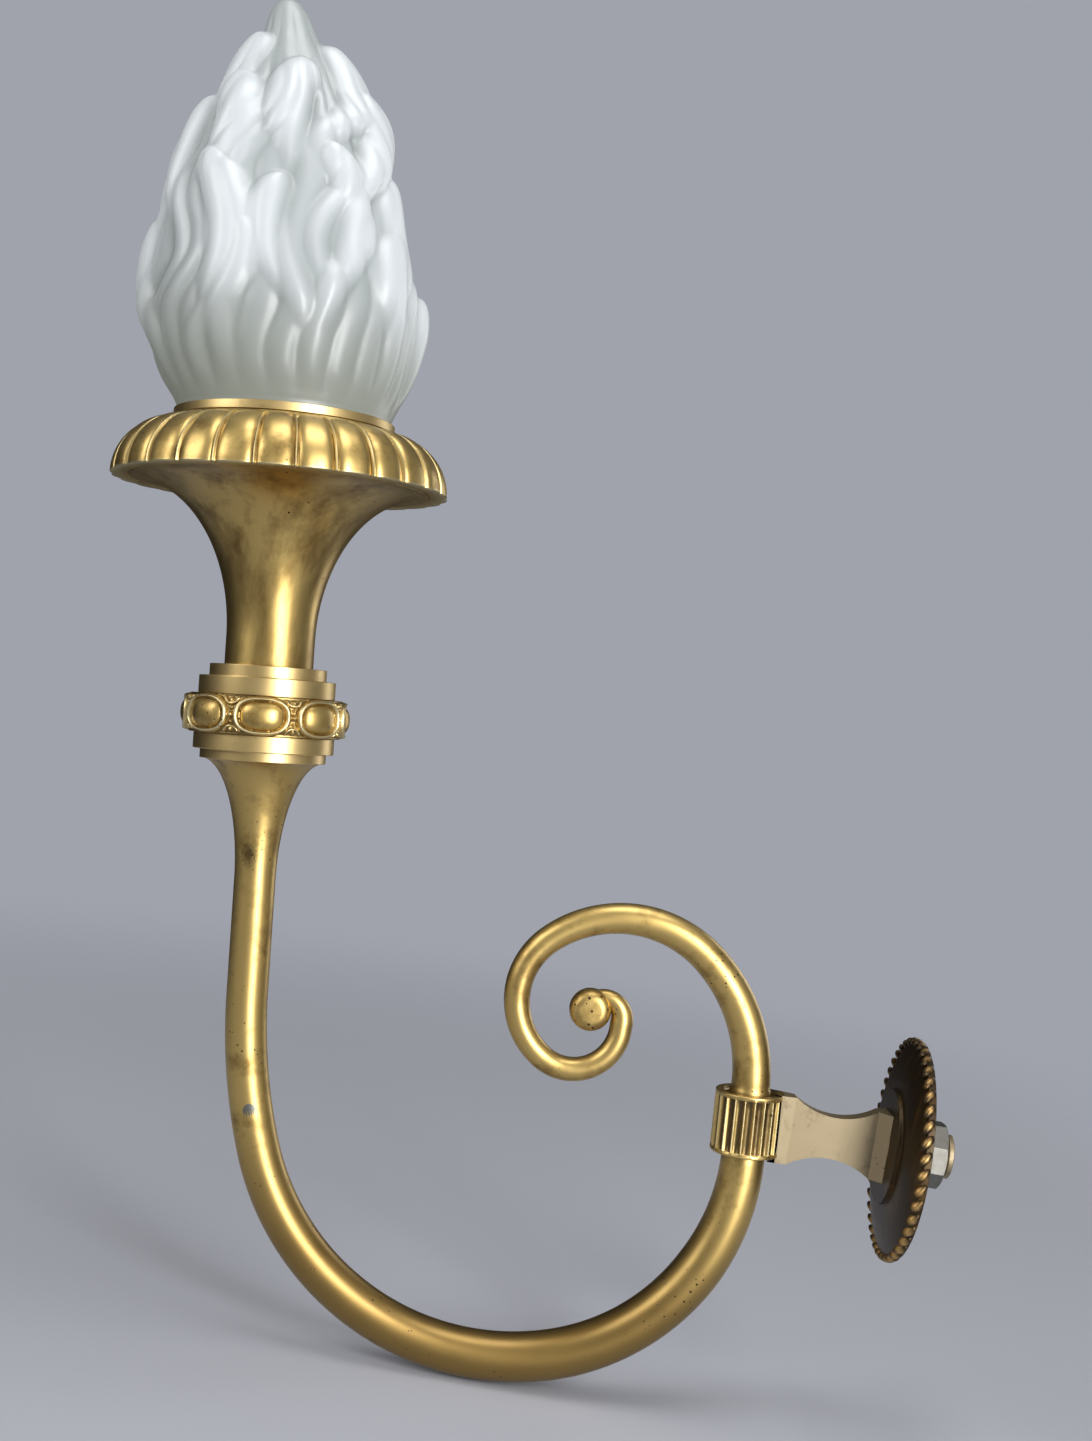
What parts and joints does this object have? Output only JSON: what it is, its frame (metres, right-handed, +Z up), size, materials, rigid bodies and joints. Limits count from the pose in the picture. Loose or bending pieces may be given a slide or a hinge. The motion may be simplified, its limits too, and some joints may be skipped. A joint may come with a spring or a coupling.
{
  "type": "torch sconce",
  "caption": "Wall light: a brass arm curves down and up from a round plate and carries a gadrooned torch with a frosted glass flame.",
  "frame": {"origin": "centre of the wall plate's back face", "axes": "+X into the wall, +Z up, the arm lies in the plane y = 0"},
  "size_m": [0.4766, 0.1685, 0.667],
  "materials": {
    "cast_brass": "satin, cast and hand-finished",
    "turned_brass": "satin, turned",
    "spun_brass": "satin, spun",
    "patinated_brass": "dark patina, worn edges",
    "grey_metal": "dull",
    "frosted_glass": "acid-frosted, moulded",
    "clear_glass": "clear, blown",
    "felt": "soft ring",
    "porcelain": "glazed",
    "nickel": "nickel-plated",
    "black_glass": "vitreous insulator"
  },
  "bodies": {
    "fixture": {"wall_plate": "patinated_brass", "mounting_stud": "turned_brass", "stud_washer": "grey_metal", "stud_nut": "grey_metal", "bracket": "cast_brass", "fluted_collar": "cast_brass", "arm_tube": "cast_brass", "stem_plug": "grey_metal", "scroll": "cast_brass", "scroll_dowel": "turned_brass", "lower_collar": "turned_brass", "egg_ring": "cast_brass", "upper_collar": "turned_brass", "trumpet": "spun_brass", "gadroon_ring": "cast_brass", "fitter_cup": "turned_brass", "shade_seat": "felt", "central_pipe": "grey_metal", "pipe_washers": "grey_metal", "pipe_nuts": "grey_metal", "holder_cap": "turned_brass", "holder_shell": "turned_brass", "holder_insert": "porcelain", "terminal_screws": "nickel", "holder_sleeve": "nickel", "centre_contact": "nickel"},
    "shade": {"flame_shade": "frosted_glass"},
    "lamp": {"lamp_contact": "nickel", "lamp_insulator": "black_glass", "lamp_cap": "nickel", "lamp_globe": "clear_glass", "lamp_stem": "clear_glass"}
  },
  "joints": [
    {"name": "shade_lift", "type": "slide", "parent": "fixture", "child": "shade", "axis": [-0.108, 0, 0.9942], "range_m": [0, 0.12]},
    {"name": "lamp_turn", "type": "hinge", "parent": "fixture", "child": "lamp", "pos_m": [-0.37522, 0, 0.31651], "axis": [-0.108, 0, 0.9942], "continuous": true}
  ]
}
